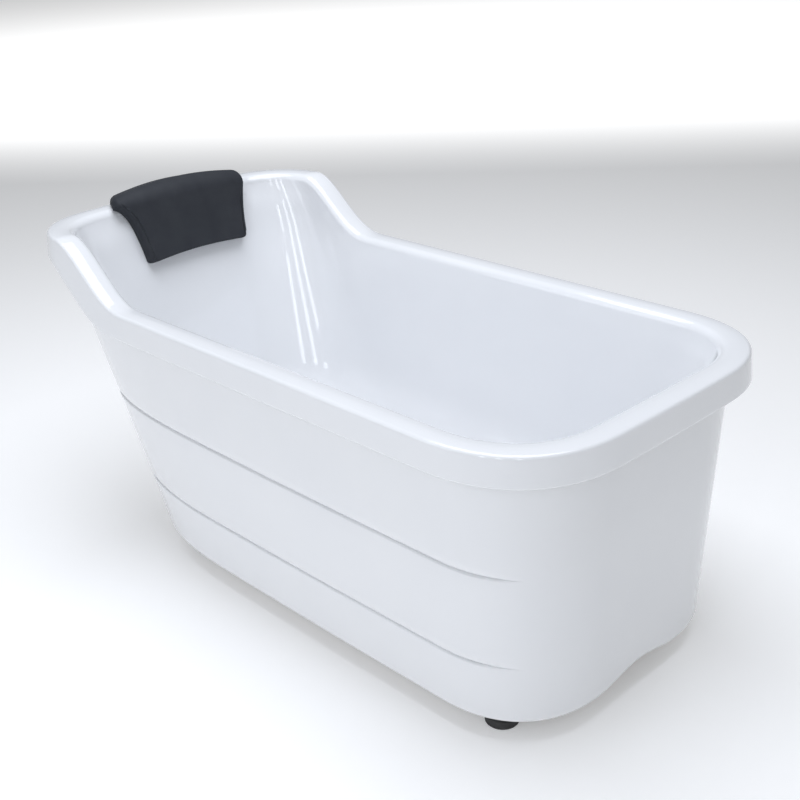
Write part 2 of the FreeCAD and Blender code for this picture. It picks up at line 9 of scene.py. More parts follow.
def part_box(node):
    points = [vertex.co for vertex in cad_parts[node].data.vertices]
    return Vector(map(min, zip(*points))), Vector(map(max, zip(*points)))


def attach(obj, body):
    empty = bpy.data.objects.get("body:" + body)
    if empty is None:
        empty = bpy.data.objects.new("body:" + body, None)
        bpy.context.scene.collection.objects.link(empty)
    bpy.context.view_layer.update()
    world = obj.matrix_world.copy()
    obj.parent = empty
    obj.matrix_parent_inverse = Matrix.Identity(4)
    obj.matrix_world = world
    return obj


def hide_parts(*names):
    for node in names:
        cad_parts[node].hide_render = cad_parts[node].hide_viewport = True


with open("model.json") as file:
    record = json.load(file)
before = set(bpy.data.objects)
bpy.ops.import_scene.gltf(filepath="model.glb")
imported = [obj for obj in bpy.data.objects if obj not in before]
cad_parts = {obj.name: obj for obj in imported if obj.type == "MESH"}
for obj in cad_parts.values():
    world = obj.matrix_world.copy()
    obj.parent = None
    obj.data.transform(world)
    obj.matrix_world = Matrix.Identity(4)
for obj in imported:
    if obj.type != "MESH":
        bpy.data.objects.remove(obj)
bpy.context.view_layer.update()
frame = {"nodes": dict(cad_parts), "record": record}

# ---- basin: cast acrylic sheet, vacuum-formed over a mould, then backed with a sprayed
# glass-fibre laminate. The rim is one piece with it: the sheet rolls over the top and
# turns down into a skirt that hides the apron's upper edge.
RIM_HEAD, RIM_FOOT = -0.700, 0.700
RIM_HALF = 0.360
RIM_LOW, RIM_HIGH = 0.570, 0.685
SWEEP_START, SWEEP_END = -0.325, -0.540
SKIRT_DEPTH = 0.054
SKIRT_LAG = 0.045
SKIRT_DRAFT = 0.004
RIM_ROUND = 0.008
LIP_ROUND = 0.018
SHEET = 0.006
FLOOR_TOP = 0.170
COVE = 0.105
BASIN_HEAD, BASIN_FOOT = -0.640, 0.640
BASIN_HALF = 0.302
BACK_LEAN, FOOT_DRAFT, SIDE_DRAFT = 0.35, 0.231, 0.114
CROWN = 0.0010                   # the deck stands this much above the rim's edges
ROUND = 400                      # points round every loop of the mouldings
CORNER_POWER = 2.4               # corners blend into the straights a little, as moulds do
CORNER_GROW = 1.167              # keeps the same diagonal as a plain arc

drain_low, drain_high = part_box("waste_flange")
drain = Vector(((drain_low[0] + drain_high[0]) / 2, 0.0, drain_high[2]))


def ease(t):
    t = min(max(t, 0.0), 1.0)
    return t * t * (3.0 - 2.0 * t)


def rim_top(x):
    t = (SWEEP_START - x) / (SWEEP_START - SWEEP_END)
    t = min(max(t, 0.0), 1.0) ** 1.2
    return RIM_LOW + (RIM_HIGH - RIM_LOW) * ease(t)


def tub_outline(s, head, foot, half, head_corner, foot_corner, head_bow, foot_bow):
    """Point of a tub-shaped plan at s, which runs once round from the foot tip."""
    side = 1.0 if s < 0.5 else -1.0
    u = s if s < 0.5 else 1.0 - s
    head_long, head_wide = head_corner
    foot_long, foot_wide = foot_corner
    power = 2.0 / CORNER_POWER
    foot_x, head_x = foot - foot_bow, head + head_bow
    if u < 0.05:
        x, y = foot_x, (half - foot_wide) * u / 0.05
    elif u < 0.13:
        t = (u - 0.05) / 0.08 * pi / 2
        x = foot_x - foot_long + foot_long * max(cos(t), 0.0) ** power
        y = half - foot_wide + foot_wide * sin(t) ** power
    elif u < 0.37:
        t = (u - 0.13) / 0.24
        x, y = foot_x - foot_long + (head_x + head_long - foot_x + foot_long) * t, half
    elif u < 0.45:
        t = (u - 0.37) / 0.08 * pi / 2
        x = head_x + head_long - head_long * sin(t) ** power
        y = half - head_wide + head_wide * max(cos(t), 0.0) ** power
    else:
        x, y = head_x, (half - head_wide) * max(0.5 - u, 0.0) / 0.05
    bulge = 1.0 - (y / half) ** 2
    middle, reach = (head_x + foot_x) / 2, (foot_x - head_x) / 2
    along = (x - middle) / reach
    x += (foot_bow if along > 0 else -head_bow) * bulge * abs(along) ** 6
    return x, side * y


def round_corner(radius):
    return radius * CORNER_GROW, radius * CORNER_GROW


def rim_point(s, inset):
    return tub_outline(s, RIM_HEAD + inset, RIM_FOOT - inset, RIM_HALF - inset,
                       round_corner(0.135 - inset), round_corner(0.188 - inset), 0.030, 0.008)


def basin_point(s, z, grow):
    depth = RIM_LOW - z
    head = BASIN_HEAD + BACK_LEAN * (RIM_HIGH - z) - grow
    foot = BASIN_FOOT - FOOT_DRAFT * depth + grow
    half = BASIN_HALF - SIDE_DRAFT * max(depth, 0.0) + grow
    corner = 0.100 + 0.22 * (RIM_HIGH - z) + grow
    return tub_outline(s, head, foot, half, round_corner(corner), round_corner(0.140 + grow),
                       0.018, 0.004)


def start_loop(bm, place, points):
    """A closed loop of points; each remembers how far round it lies."""
    around = bm.verts.layers.float.new("around")
    made = bmesh.ops.create_circle(bm, cap_ends=False, segments=points, radius=1.0)
    for v in made["verts"]:
        v[around] = (atan2(v.co.y, v.co.x) / (2 * pi)) % 1.0
        v.co = place(v[around])
    return around, list(bm.edges)


def next_loop(bm, around, edges, place):
    """Extrudes a loop and puts the new points where place says."""
    grown = bmesh.ops.extrude_edge_only(bm, edges=edges)["geom"]
    for v in grown:
        if isinstance(v, bmesh.types.BMVert):
            v.co = place(v[around])
    return [e for e in grown if isinstance(e, bmesh.types.BMEdge)
            and len(e.link_faces) == 1]


def moulding(name, places, points=ROUND):
    """A sheet that passes through one loop after another."""
    bm = bmesh.new()
    around, edges = start_loop(bm, places[0], points)
    for place in places[1:]:
        edges = next_loop(bm, around, edges, place)
    bm.normal_update()
    mesh = bpy.data.meshes.new(name)
    for face in bm.faces:
        face.smooth = True
    return bm, mesh


def show(name, bm, mesh):
    bm.to_mesh(mesh)
    bm.free()
    piece = bpy.data.objects.new(name, mesh)
    bpy.context.scene.collection.objects.link(piece)
    return piece


def on_rim(inset, drop):
    def place(s):
        x, y = rim_point(s, inset)
        return Vector((x, y, rim_top(x) - drop))
    return place


def on_skirt(inset, rise):
    def place(s):
        x, y = rim_point(s, inset)
        return Vector((x, y, rim_top(x + SKIRT_LAG) - SKIRT_DEPTH + rise))
    return place


def on_skirt_face(t):
    def place(s):
        x, y = rim_point(s, SKIRT_DRAFT * t)
        low = rim_top(x + SKIRT_LAG) - SKIRT_DEPTH + 0.003
        high = rim_top(x) - RIM_ROUND
        return Vector((x, y, low + (high - low) * t))
    return place


def lip_edge(s):
    """Top of the inner wall at s: where the lip's rounding would start."""
    x, y = basin_point(s, RIM_LOW, 0.0)
    for _ in range(4):
        x, y = basin_point(s, rim_top(x), 0.0)
    return rim_top(x)


def on_deck(t):
    def place(s):
        x0, y0 = rim_point(s, SKIRT_DRAFT + RIM_ROUND)
        x1, y1 = basin_point(s, lip_edge(s), LIP_ROUND)
        x, y = x0 + (x1 - x0) * t, y0 + (y1 - y0) * t
        return Vector((x, y, rim_top(x) - CROWN * (2 * t - 1.0) ** 2))
    return place


def on_lip(turn):
    def place(s):
        x, y = basin_point(s, lip_edge(s), LIP_ROUND * (1.0 - cos(turn)))
        return Vector((x, y, rim_top(x) - CROWN - LIP_ROUND * (1.0 - sin(turn))))
    return place


def on_wall(t):
    def place(s):
        x, y = basin_point(s, lip_edge(s), 0.0)
        high = rim_top(x) - CROWN - LIP_ROUND
        z = high + (FLOOR_TOP + COVE - high) * t
        x, y = basin_point(s, z, 0.0)
        return Vector((x, y, z))
    return place


def on_cove(turn):
    def place(s):
        z = FLOOR_TOP + COVE * (1.0 - sin(turn))
        x, y = basin_point(s, z, -COVE * (1.0 - cos(turn)))
        return Vector((x, y, z))
    return place


def on_floor(t, hole):
    def place(s):
        x0, y0 = basin_point(s, FLOOR_TOP, -COVE)
        x1, y1 = drain.x + hole * cos(2 * pi * s), hole * sin(2 * pi * s)
        fall = 0.0012 * ease(t * 1.3)
        return Vector((x0 + (x1 - x0) * t, y0 + (y1 - y0) * t, FLOOR_TOP - fall))
    return place


QUARTER = pi / 2
places = [on_skirt(0.0035, 0.0), on_skirt(0.0014, 0.0006), on_skirt(0.0003, 0.0018)]
places += [on_skirt_face(k / 5) for k in range(6)]
places += [lambda s, a=QUARTER * k / 6: on_rim(SKIRT_DRAFT + RIM_ROUND * (1 - cos(a)),
                                              CROWN + (RIM_ROUND - CROWN) * (1 - sin(a)))(s)
           for k in range(1, 7)]
places += [on_deck(k / 6) for k in range(1, 7)]
places += [on_lip(QUARTER * (1 - k / 7)) for k in range(1, 8)]
places += [on_wall(k / 14) for k in range(1, 15)]
places += [on_cove(QUARTER * k / 11) for k in range(1, 12)]
places += [on_floor(k / 7, 0.0262) for k in range(1, 8)]
bm, mesh = moulding("bath_basin", places)
basin = show("bath_basin", bm, mesh)


def surface_turns_out(piece, sample, outward):
    """Flips the whole sheet if the face nearest to sample points the wrong way."""
    faces = piece.data.polygons
    nearest = min(faces, key=lambda f: (f.center - sample).length)
    if nearest.normal.dot(outward) < 0:
        piece.data.flip_normals()


surface_turns_out(basin, Vector((0.0, -RIM_HALF, 0.55)), Vector((0, -1, 0)))


def principled(name):
    material = bpy.data.materials.new(name)
    material.use_nodes = True
    tree = material.node_tree
    return material, tree, tree.nodes["Principled BSDF"]


def noise(tree, scale, detail=2.0, roughness=0.5, stretch=(1, 1, 1)):
    """Noise in the piece's own space; returns its factor."""
    place = tree.nodes.new("ShaderNodeTexCoord")
    mapping = tree.nodes.new("ShaderNodeMapping")
    mapping.inputs["Scale"].default_value = stretch
    field = tree.nodes.new("ShaderNodeTexNoise")
    field.inputs["Scale"].default_value = scale
    field.inputs["Detail"].default_value = detail
    field.inputs["Roughness"].default_value = roughness
    tree.links.new(place.outputs["Object"], mapping.inputs["Vector"])
    tree.links.new(mapping.outputs["Vector"], field.inputs["Vector"])
    return field.outputs["Fac"]


def ramp(tree, factor, stops):
    node = tree.nodes.new("ShaderNodeValToRGB")
    node.color_ramp.elements[0].position = stops[0][0]
    node.color_ramp.elements[0].color = (*stops[0][1], 1)
    node.color_ramp.elements[1].position = stops[-1][0]
    node.color_ramp.elements[1].color = (*stops[-1][1], 1)
    for position, colour in stops[1:-1]:
        node.color_ramp.elements.new(position).color = (*colour, 1)
    tree.links.new(factor, node.inputs["Fac"])
    return node.outputs["Color"]


def bump(tree, height, depth, strength=1.0):
    node = tree.nodes.new("ShaderNodeBump")
    node.inputs["Strength"].default_value = strength
    node.inputs["Distance"].default_value = depth
    tree.links.new(height, node.inputs["Height"])
    return node.outputs["Normal"]


def gloss_acrylic():
    material, tree, shader = principled("gloss_white_acrylic")
    cloud = noise(tree, 5.0, 3.0)
    tone = ramp(tree, cloud, [(0.30, (0.865, 0.875, 0.893)), (0.70, (0.885, 0.893, 0.907))])
    tree.links.new(tone, shader.inputs["Base Color"])
    haze = ramp(tree, noise(tree, 14.0, 4.0), [(0.35, (0.055,) * 3), (0.75, (0.10,) * 3)])
    tree.links.new(haze, shader.inputs["Roughness"])
    shader.inputs["IOR"].default_value = 1.49
    shader.inputs["Coat Weight"].default_value = 0.25
    shader.inputs["Coat Roughness"].default_value = 0.04
    peel = noise(tree, 38.0, 1.0)
    tree.links.new(bump(tree, peel, 0.00012, 0.5), shader.inputs["Normal"])
    return material


def laminate():
    material, tree, shader = principled("glass_fibre_laminate")
    strands = noise(tree, 90.0, 6.0, 0.65, (1.0, 0.35, 0.6))
    tone = ramp(tree, strands, [(0.35, (0.47, 0.45, 0.38)), (0.55, (0.60, 0.58, 0.50)),
                                (0.72, (0.70, 0.68, 0.60))])
    tree.links.new(tone, shader.inputs["Base Color"])
    shader.inputs["Roughness"].default_value = 0.42
    tree.links.new(bump(tree, strands, 0.0012, 0.8), shader.inputs["Normal"])
    return material


def thicken(piece, thickness, front, back):
    piece.data.materials.append(front)
    piece.data.materials.append(back)
    wall = piece.modifiers.new("wall", "SOLIDIFY")
    wall.thickness = thickness
    wall.offset = -1.0
    wall.material_offset = 1


acrylic = gloss_acrylic()
glass_fibre = laminate()
thicken(basin, SHEET, acrylic, glass_fibre)
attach(basin, "tub")
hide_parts(*[name for name in frame["nodes"] if name.startswith("basin_")])

# ---- apron: a second acrylic moulding that stands round the basin. Each long side is
# pressed with two lap lines; the bottom edge is rolled in, and arches under the foot end.
APRON_BASE = 0.039
APRON_ROLL = 0.018
APRON_RETURN = 0.035
APRON_WALL = 0.005
LAP_HEIGHTS = (0.158, 0.332)
LAP_STEP = 0.0052
LAP_RISE = 0.018
LAP_EDGE = 0.0045               # rounding of the lower panel's top edge
ARCH_RISE = 0.018
ARCH_HALF = 0.118


def through(keys, z):
    """Smooth curve through (height, value) pairs."""
    if z <= keys[0][0]:
        return keys[0][1]
    for k in range(len(keys) - 1):
        (z0, a), (z1, b) = keys[k], keys[k + 1]
        if z <= z1:
            before = keys[k - 1] if k else keys[0]
            after = keys[k + 2] if k + 2 < len(keys) else keys[-1]
            m0 = (b - before[1]) / (z1 - before[0]) * (z1 - z0)
            m1 = (after[1] - a) / (after[0] - z0) * (z1 - z0)
            t = (z - z0) / (z1 - z0)
            return ((2 * t ** 3 - 3 * t ** 2 + 1) * a + (t ** 3 - 2 * t ** 2 + t) * m0
                    + (-2 * t ** 3 + 3 * t ** 2) * b + (t ** 3 - t ** 2) * m1)
    return keys[-1][1]


def apron_point(s, z, inset):
    up = min((z - APRON_BASE) / (RIM_LOW - SKIRT_DEPTH - APRON_BASE), 1.0)
    lean, bend = 0.4507, 0.1207
    head = -0.425 - lean * (min(z, 0.500) - APRON_BASE)
    above = min(max(z - 0.500, 0.0), bend)
    head -= lean * (above - above ** 2 / (2 * bend))
    half = 0.301 + 0.024 * up
    foot = 0.652 + 0.014 * up
    long = through(((0.039, 0.27), (0.158, 0.32), (0.332, 0.37), (0.516, 0.32), (0.64, 0.17)), z)
    wide = through(((0.039, 0.105), (0.332, 0.095), (0.516, 0.105), (0.64, 0.140)), z)
    x, y = tub_outline(s, head + inset, foot - inset, half - inset, (long - inset, wide - inset),
                       round_corner(0.165 - inset), 0.006, 0.006)
    belly = 0.003 * max(1.0 - ((x - 0.12) / 0.50) ** 2, 0.0) ** 2
    return x, y + (belly if y > 0 else -belly)


def lap_depth(z):
    for height in LAP_HEIGHTS:
        near = (z - height) / LAP_RISE if z > height else (height - z) / LAP_EDGE
        if near <= 1.0:
            return LAP_STEP * (1.0 - sqrt(max(1.0 - (1.0 - near) ** 2, 0.0)))
    return 0.0


def faces_side(s, z):
    """1 where the apron faces straight to the side, falling to 0 round the corners."""
    step = 0.002
    xa, ya = apron_point(s - step, z, 0.0)
    xb, yb = apron_point((s + step) % 1.0, z, 0.0)
    run = sqrt((xb - xa) ** 2 + (yb - ya) ** 2)
    sideways = abs(xb - xa) / run
    return ease((sideways - 0.70) / 0.26)


def arch(x, y):
    if x < 0.45 or abs(y) > ARCH_HALF:
        return 0.0
    return ARCH_RISE * cos(pi / 2 * y / ARCH_HALF) ** 2 * ease((x - 0.45) / 0.1)


def on_apron(z, inset=0.0, lift=0.0):
    def place(s):
        depth = lap_depth(z) * faces_side(s, z) if lap_depth(z) > 0 else 0.0
        x, y = apron_point(s, z, inset + depth)
        rise = arch(x, y) * max(1.0 - max(z - APRON_BASE, 0.0) / 0.11, 0.0)
        return Vector((x, y, z + lift + rise))
    return place


def on_apron_top(t):
    def place(s):
        low = LAP_HEIGHTS[-1] + LAP_RISE
        x, y = apron_point(s, 0.5, 0.0)
        for _ in range(3):
            high = rim_top(x) - SHEET - 0.0022
            z = low + (high - low) * t
            x, y = apron_point(s, z, 0.0)
        return Vector((x, y, z))
    return place


heights = []
low = APRON_BASE + APRON_ROLL
for height in LAP_HEIGHTS:
    flat = height - LAP_EDGE
    heights += [low + (flat - low) * k / 7 for k in range(1, 7)]
    heights += [flat + LAP_EDGE * sin(QUARTER * k / 6) for k in range(6)]
    heights += [height + LAP_RISE * (k / 9) ** 1.7 for k in range(10)]
    low = height + LAP_RISE
places = [on_apron(APRON_BASE, APRON_RETURN, 0.0015), on_apron(APRON_BASE, 0.026, 0.0004)]
places += [lambda s, a=QUARTER * k / 8: on_apron(APRON_BASE + APRON_ROLL * (1 - cos(a)),
                                                APRON_ROLL * (1 - sin(a)))(s)
           for k in range(9)]
places += [on_apron(z) for z in heights]
places += [on_apron_top(k / 9) for k in range(1, 10)]
bm, mesh = moulding("bath_apron", places)
apron = show("bath_apron", bm, mesh)
surface_turns_out(apron, Vector((0.0, -0.31, 0.25)), Vector((0, -1, 0)))
thicken(apron, APRON_WALL, acrylic, glass_fibre)
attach(apron, "tub")
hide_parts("apron")

# ---- head pillow: moulded polyurethane with a skin, charcoal. It hangs over the head rim,
# follows the backrest below it, and is held by two suction cups. A parting line runs
# round its sides where the two halves of the mould met.
PILLOW_MIDDLE = 0.014
PILLOW_NEAR = ((0.0, 0.127), (0.25, 0.133), (0.50, 0.147), (0.64, 0.172))
PILLOW_FAR = ((0.0, 0.139), (0.25, 0.148), (0.45, 0.160), (0.60, 0.172))
PILLOW_BACK_HALF = 0.128
BACK_ANGLE = 0.3367
PILLOW_FRONT, PILLOW_TURN, PILLOW_DECK = 0.128, 0.014, 0.041
PILLOW_EDGE = 0.005


def pillow_spine(along):
    """Underside of the pillow: up the backrest, over the lip, back across the deck."""
    down = Vector((sin(BACK_ANGLE), 0, -cos(BACK_ANGLE)))
    away = Vector((cos(BACK_ANGLE), 0, sin(BACK_ANGLE)))
    bend = pi / 2 - BACK_ANGLE
    centre = Vector((-0.6515, 0, 0.6737))
    if along < PILLOW_FRONT:
        return centre + away * PILLOW_TURN + down * (PILLOW_FRONT - along), away
    turned = min((along - PILLOW_FRONT) / (PILLOW_TURN + 0.025), bend)
    out = Vector((cos(BACK_ANGLE + turned), 0, sin(BACK_ANGLE + turned)))
    past = max(along - PILLOW_FRONT - bend * (PILLOW_TURN + 0.025), 0.0)
    return centre + out * PILLOW_TURN + Vector((-past, 0, 0)), out


def pillow_point(u, v, deep, shrink=0.0):
    """u runs across from -1 to 1, v from the lower edge to the back one, deep inwards."""
    u, v = u * (1 - shrink / 0.15), 0.5 + (v - 0.5) * (1 - shrink / 0.1)
    length = PILLOW_FRONT + (pi / 2 - BACK_ANGLE) * (PILLOW_TURN + 0.025) + PILLOW_DECK
    side = PILLOW_NEAR if u < 0 else PILLOW_FAR
    crest, half = side[-1]
    if v < crest:
        half = through(side, v)
    else:
        past = min((v - crest) / (1 - crest), 1.0)
        half -= (half - PILLOW_BACK_HALF) * (1 - sqrt(1 - past ** 2))
    half -= 0.005 * (1 - deep)
    rise = 0.006 * (1 - u ** 2) * max(1 - v * 2, 0.0)
    spot, out = pillow_spine(v * length + rise)
    thick = 0.026 - 0.013 * ease((v - 0.60) / 0.40)
    crown = (1 - u ** 2) * (0.003 + 0.012 * ease(v / 0.72) * ease((1.35 - v) / 0.6))
    y = PILLOW_MIDDLE + u * half
    spot = spot + out * (thick + crown) * (1.0 - deep) + out * 0.0015 * deep
    return Vector((spot.x + y * y / 5.0, y, spot.z))


def pillow_corner(p, q):
    """Rounds the lower corners of the square that the grid starts from."""
    radius = 0.055 if p < 0 else 0.075
    a, b = (abs(p) - 1 + radius) / radius, (-q - 1 + radius) / radius
    if a > 0 and b > 0:
        a, b = a * sqrt(1 - b * b / 2), b * sqrt(1 - a * a / 2)
        p = (1 - radius + radius * a) * (1 if p > 0 else -1)
        q = -(1 - radius + radius * b)
    return p, q


bm = bmesh.new()
across, along = bm.verts.layers.float.new("across"), bm.verts.layers.float.new("along")
bmesh.ops.create_grid(bm, x_segments=60, y_segments=40, size=1.0)
for v in bm.verts:
    p, q = pillow_corner(v.co.x, v.co.y)
    v[across], v[along] = p, (q + 1) / 2
    v.co = pillow_point(p, v[along], 0.0)


def press(faces, deep, shrink):
    """Carries the back of the pillow deeper."""
    grown = bmesh.ops.extrude_face_region(bm, geom=faces)["geom"]
    for v in grown:
        if isinstance(v, bmesh.types.BMVert):
            v.co = pillow_point(v[across], v[along], deep, shrink)
    return [f for f in grown if isinstance(f, bmesh.types.BMFace)]


rim_edges = [e for e in bm.edges if len(e.link_faces) == 1]
back_faces = press(list(bm.faces), 0.55, 0.0)
bmesh.ops.bevel(bm, geom=rim_edges, offset=PILLOW_EDGE, segments=5, profile=0.5,
                affect="EDGES", material=-1)
back_faces = press(back_faces, 0.59, 0.0007)
back_faces = press(back_faces, 0.62, 0.0)
back_faces = press(back_faces, 1.0, 0.0012)
bmesh.ops.recalc_face_normals(bm, faces=bm.faces)
for face in bm.faces:
    face.smooth = True
mesh = bpy.data.meshes.new("bath_pillow")
pillow = show("bath_pillow", bm, mesh)


def moulded_skin():
    material, tree, shader = principled("charcoal_pu_skin")
    cloud = noise(tree, 22.0, 3.0)
    tone = ramp(tree, cloud, [(0.3, (0.026, 0.029, 0.036)), (0.7, (0.034, 0.037, 0.044))])
    tree.links.new(tone, shader.inputs["Base Color"])
    shader.inputs["Roughness"].default_value = 0.68
    shader.inputs["Specular IOR Level"].default_value = 0.3
    grain = noise(tree, 1100.0, 2.0, 0.6)
    tree.links.new(bump(tree, grain, 0.00025, 0.7), shader.inputs["Normal"])
    return material


pillow.data.materials.append(moulded_skin())
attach(pillow, "pillow")
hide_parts("head_pillow")

# ---- levelling feet: a moulded rubber pad turns on the ball foot of a zinc-plated M12
# screw, which runs up through a welded nut. The screw has a hexagon for the spanner.
THREAD_PITCH = 0.00175
THREAD_R = 0.006
THREAD_DEPTH = 0.0009


def around_axis(centre, axis):
    side = axis.orthogonal().normalized()
    other = axis.cross(side)

    def ring(radius, height):
        """radius is a number, or a function of how far round it is."""
        def place(s):
            r = radius(s) if callable(radius) else radius
            turn = 2 * pi * s
            return centre + axis * height + (side * cos(turn) + other * sin(turn)) * r
        return place
    return ring


def lathe(name, rings, material, body, nodes, points=72, crease=0.6):
    """A closed piece that runs through rings; nodes are the CAD nodes it stands for."""
    bm, mesh = moulding(name, rings, points)
    bmesh.ops.remove_doubles(bm, verts=bm.verts, dist=1e-6)
    bmesh.ops.recalc_face_normals(bm, faces=bm.faces)
    for edge in bm.edges:
        edge.smooth = edge.is_manifold and edge.calc_face_angle() < crease
    piece = show(name, bm, mesh)
    piece.data.materials.append(material)
    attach(piece, body)
    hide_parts(*nodes)
    return piece


def black_rubber():
    material, tree, shader = principled("foot_rubber")
    dust = noise(tree, 60.0, 4.0)
    tone = ramp(tree, dust, [(0.35, (0.030, 0.030, 0.031)), (0.75, (0.050, 0.049, 0.047))])
    tree.links.new(tone, shader.inputs["Base Color"])
    shader.inputs["Roughness"].default_value = 0.6
    tree.links.new(bump(tree, noise(tree, 700.0, 2.0), 0.0002, 0.6), shader.inputs["Normal"])
    return material


def bright_zinc():
    material, tree, shader = principled("bright_zinc_plate")
    cloud = noise(tree, 40.0, 3.0)
    tone = ramp(tree, cloud, [(0.35, (0.62, 0.64, 0.66)), (0.7, (0.74, 0.74, 0.71))])
    tree.links.new(tone, shader.inputs["Base Color"])
    shader.inputs["Metallic"].default_value = 1.0
    rough = ramp(tree, cloud, [(0.3, (0.26,) * 3), (0.7, (0.38,) * 3)])
    tree.links.new(rough, shader.inputs["Roughness"])
    return material


rubber, zinc = black_rubber(), bright_zinc()


def hexagon(apothem):
    return lambda s: apothem / cos((s * 6 % 1.0 - 0.5) * pi / 3)


def threaded(height):
    return lambda s: THREAD_R - THREAD_DEPTH * abs(((height / THREAD_PITCH - s) % 1.0) * 2 - 1)


for name in ("head_near", "head_far", "foot_near", "foot_far"):
    low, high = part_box("pad_" + name)
    ring = around_axis(Vector(((low[0] + high[0]) / 2, (low[1] + high[1]) / 2, 0)),
                       Vector((0, 0, 1)))
    tread = [(0.0, 0.0012), (0.0150, 0.0012)]
    for r in (0.0165, 0.0205, 0.0245):
        tread += [(r, 0.0), (r + 0.0022, 0.0), (r + 0.0028, 0.0012)]
    rings = [ring(r, z) for r, z in tread]
    rings += [ring(0.0285, 0.0), ring(0.0294, 0.0002), ring(0.0300, 0.0010)]
    rings += [ring(0.0300, 0.0035), ring(0.0296, 0.0042), ring(0.0290, 0.0046)]
    rings += [ring(0.0275, 0.0110), ring(0.0268, 0.0122), ring(0.0254, 0.0131)]
    rings += [ring(0.0150, 0.0164), ring(0.0138, 0.0169), ring(0.0125, 0.0170)]
    rings += [ring(0.0096, 0.0170), ring(0.00915, 0.0165), ring(0.00915, 0.0050)]
    rings += [ring(0.0, 0.0050)]
    lathe("foot_pad_" + name, rings, rubber, "foot_" + name, ["pad_" + name])
    flats = hexagon(0.0083)
    rings = [ring(0.0, 0.00505), ring(0.0082, 0.00505), ring(0.0090, 0.0060),
             ring(0.0090, 0.0160), ring(0.0082, 0.0168), ring(0.0060, 0.0172),
             ring(0.0055, 0.0189), ring(0.0083, 0.0190),
             ring(flats, 0.0196), ring(flats, 0.0264), ring(0.0083, 0.0270),
             ring(0.0055, 0.0272)]
    height = 0.0275
    while height < 0.1370:
        rings.append(ring(threaded(height), height))
        height += THREAD_PITCH / 6
    rings += [ring(0.0049, 0.1374), ring(0.0042, 0.1380), ring(0.0, 0.1380)]
    lathe("foot_screw_" + name, rings, zinc, "foot_" + name, ["stem_" + name], 36)

# ---- waste plug and overflow cover: pressed brass, chrome plated. The plug lifts off its
# rubber seal; the cover stands off the foot wall so that water runs in behind its edge.
def chrome_plate():
    material, tree, shader = principled("chrome_plate")
    cloud = noise(tree, 30.0, 3.0)
    tone = ramp(tree, cloud, [(0.3, (0.80, 0.81, 0.83)), (0.7, (0.86, 0.86, 0.87))])
    tree.links.new(tone, shader.inputs["Base Color"])
    shader.inputs["Metallic"].default_value = 1.0
    rough = ramp(tree, cloud, [(0.3, (0.05,) * 3), (0.7, (0.11,) * 3)])
    tree.links.new(rough, shader.inputs["Roughness"])
    return material


chrome = chrome_plate()
low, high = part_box("plug_cap")
ring = around_axis(Vector(((low[0] + high[0]) / 2, 0, high[2] - 0.003)), Vector((0, 0, 1)))
rings = [ring(0.0, -0.0050), ring(0.0135, -0.0050), ring(0.0140, -0.0045),
         ring(0.0140, 0.0), ring(0.0290, 0.0), ring(0.0298, 0.0004), ring(0.0300, 0.0010),
         ring(0.0297, 0.0016), ring(0.0285, 0.0021)]
rings += [ring(0.0285 * cos(a), 0.0021 + 0.0016 * sin(a)) for a in
          (0.2, 0.4, 0.6, 0.8, 1.0, 1.2, 1.4)]
rings += [ring(0.0, 0.0037)]
lathe("plug_cap_dome", rings, chrome, "plug", ["plug_cap"], 96)

OVERFLOW_HEIGHT = 0.478
out = Vector((-cos(FOOT_DRAFT), 0, sin(FOOT_DRAFT)))
foot_wall = Vector((BASIN_FOOT - FOOT_DRAFT * (RIM_LOW - OVERFLOW_HEIGHT), 0, OVERFLOW_HEIGHT))
ring = around_axis(foot_wall, out)
rings = [ring(0.0120, -0.0135), ring(0.0150, -0.0135), ring(0.0150, 0.0),
         ring(0.0300, 0.0002), ring(0.0300, 0.0028), ring(0.0320, 0.0030),
         ring(0.0328, 0.0034), ring(0.0330, 0.0042), ring(0.0326, 0.0052)]
rings += [ring(0.0326 * cos(a), 0.0052 + 0.0026 * sin(a)) for a in
          (0.2, 0.4, 0.6, 0.8, 1.0, 1.2, 1.4)]
rings += [ring(0.0, 0.0078), ring(0.0, 0.0020), ring(0.0120, 0.0020), ring(0.0120, -0.0135)]
lathe("overflow_dome", rings, chrome, "tub", ["overflow_cover"], 96)

# ---- overflow hose: blow-moulded corrugated polypropylene, from the overflow elbow down
# and round to the tee under the waste. Both ends push over spigots under union nuts.
HOSE_PITCH = 0.0048
HOSE_OUT, HOSE_IN = 0.0109, 0.0094
HOSE_BEND = 0.096
low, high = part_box("overflow_hose")
hose_low, hose_top = low[2] + 0.0109, high[2]
hose_start, hose_x = low[0], high[0] - 0.0109


def hose_line(distance):
    flat = hose_x - HOSE_BEND - hose_start
    if distance < flat:
        return Vector((hose_start + distance, 0, hose_low)), Vector((1, 0, 0))
    turn = (distance - flat) / HOSE_BEND
    if turn < pi / 2:
        return (Vector((hose_x - HOSE_BEND + HOSE_BEND * sin(turn), 0,
                        hose_low + HOSE_BEND * (1 - cos(turn)))),
                Vector((cos(turn), 0, sin(turn))))
    rest = distance - flat - HOSE_BEND * pi / 2
    return Vector((hose_x, 0, hose_low + HOSE_BEND + rest)), Vector((0, 0, 1))


def hose_ring(distance, radius):
    spot, ahead = hose_line(distance)
    side = Vector((0, 1, 0))
    other = ahead.cross(side)
    return lambda s: spot + (side * cos(2 * pi * s) + other * sin(2 * pi * s)) * radius


